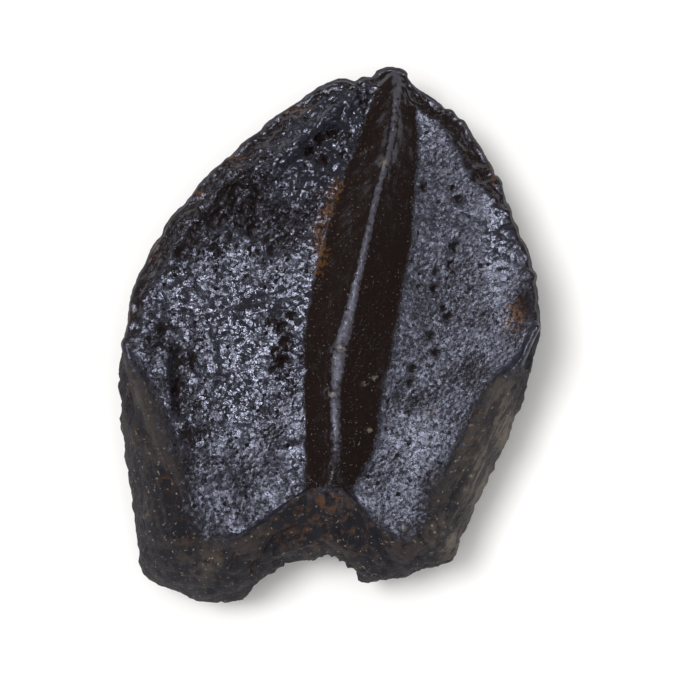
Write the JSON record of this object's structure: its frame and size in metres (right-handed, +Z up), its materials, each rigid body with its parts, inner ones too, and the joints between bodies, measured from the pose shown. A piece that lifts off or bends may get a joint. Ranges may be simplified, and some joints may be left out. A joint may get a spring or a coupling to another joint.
{
  "type": "fossil tooth",
  "caption": "Leaf-shaped fossil triceratops tooth with a keeled enamel face and scalloped margins, on a broken, notched root stub.",
  "frame": {"origin": "middle of the tooth's outline seen from above, on the surface that it lies on", "axes": "+X to the right across the enamel face, +Y towards the crown's tip, +Z up, out of the enamel face"},
  "size_m": [0.021, 0.0268, 0.0108],
  "materials": {
    "fossil": "dark blue-grey and brown-black fossil enamel with a satin shine, on duller grey-brown fossil dentine"
  },
  "bodies": {
    "root": {"tooth": "fossil"}
  },
  "joints": []
}
